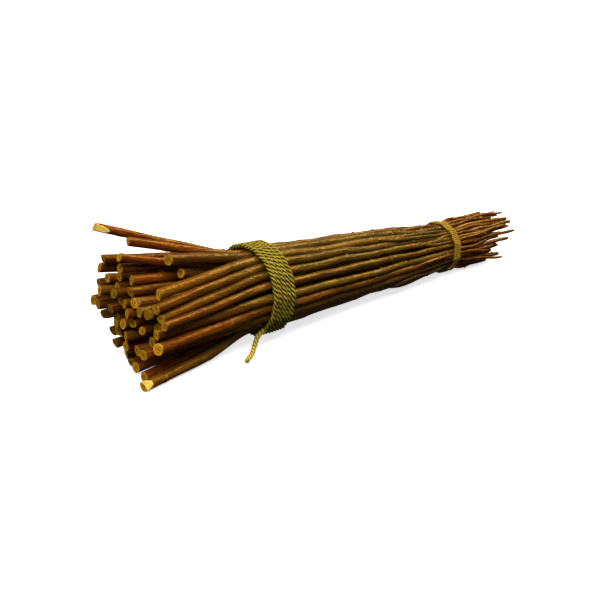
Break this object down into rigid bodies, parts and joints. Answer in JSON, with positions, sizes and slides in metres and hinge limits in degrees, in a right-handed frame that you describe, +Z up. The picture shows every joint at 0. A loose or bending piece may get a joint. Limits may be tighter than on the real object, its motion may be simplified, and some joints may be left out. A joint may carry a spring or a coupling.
{
  "type": "bundle of twigs",
  "caption": "Bundle of cut twigs lying down, bound with rope near the thick butts and with thin cord near the tips.",
  "frame": {"origin": "middle of the bundle's box on the surface it lies on, without the rope's free end", "axes": "+X along the bundle from the thick butts to the thin tips, +Z up, +Y away from the rope's free end"},
  "size_m": [0.4114, 0.0896, 0.1001],
  "materials": {
    "bark_brown": "satin brown bark with fine scars, pale ochre cut ends",
    "bark_red_brown": "satin red-brown bark, pale ochre cut ends",
    "bark_olive": "satin olive-brown bark, pale ochre cut ends",
    "rope": "matt laid rope of twisted plant fibre",
    "thin_cord": "matt thin twisted cord"
  },
  "bodies": {
    "root": {"twig_01": "bark_red_brown", "twig_02": "bark_red_brown", "twig_03": "bark_red_brown", "twig_04": "bark_brown", "twig_05": "bark_olive", "twig_06": "bark_red_brown", "twig_07": "bark_red_brown", "twig_08": "bark_brown", "twig_09": "bark_red_brown", "twig_10": "bark_brown", "twig_11": "bark_olive", "twig_12": "bark_brown", "twig_13": "bark_brown", "twig_14": "bark_brown", "twig_15": "bark_olive", "twig_16": "bark_red_brown", "twig_17": "bark_brown", "twig_18": "bark_red_brown", "twig_19": "bark_brown", "twig_20": "bark_brown", "twig_21": "bark_olive", "twig_22": "bark_brown", "twig_23": "bark_olive", "twig_24": "bark_brown", "twig_25": "bark_olive", "twig_26": "bark_brown", "twig_27": "bark_olive", "twig_28": "bark_brown", "twig_29": "bark_red_brown", "twig_30": "bark_brown", "twig_31": "bark_brown", "twig_32": "bark_brown", "twig_33": "bark_red_brown", "twig_34": "bark_brown", "twig_35": "bark_brown", "twig_36": "bark_olive", "twig_37": "bark_olive", "twig_38": "bark_brown", "twig_39": "bark_red_brown", "twig_40": "bark_brown", "twig_41": "bark_brown", "twig_42": "bark_red_brown", "twig_43": "bark_olive", "twig_44": "bark_brown", "twig_45": "bark_olive", "twig_46": "bark_brown", "twig_47": "bark_red_brown", "twig_48": "bark_olive", "twig_49": "bark_brown", "twig_50": "bark_red_brown", "twig_51": "bark_brown", "twig_52": "bark_olive", "twig_53": "bark_brown", "twig_54": "bark_red_brown", "twig_55": "bark_brown", "twig_56": "bark_olive", "twig_57": "bark_brown", "rope_binding": "rope", "rope_tail": "rope", "tip_binding": "thin_cord"}
  },
  "joints": []
}
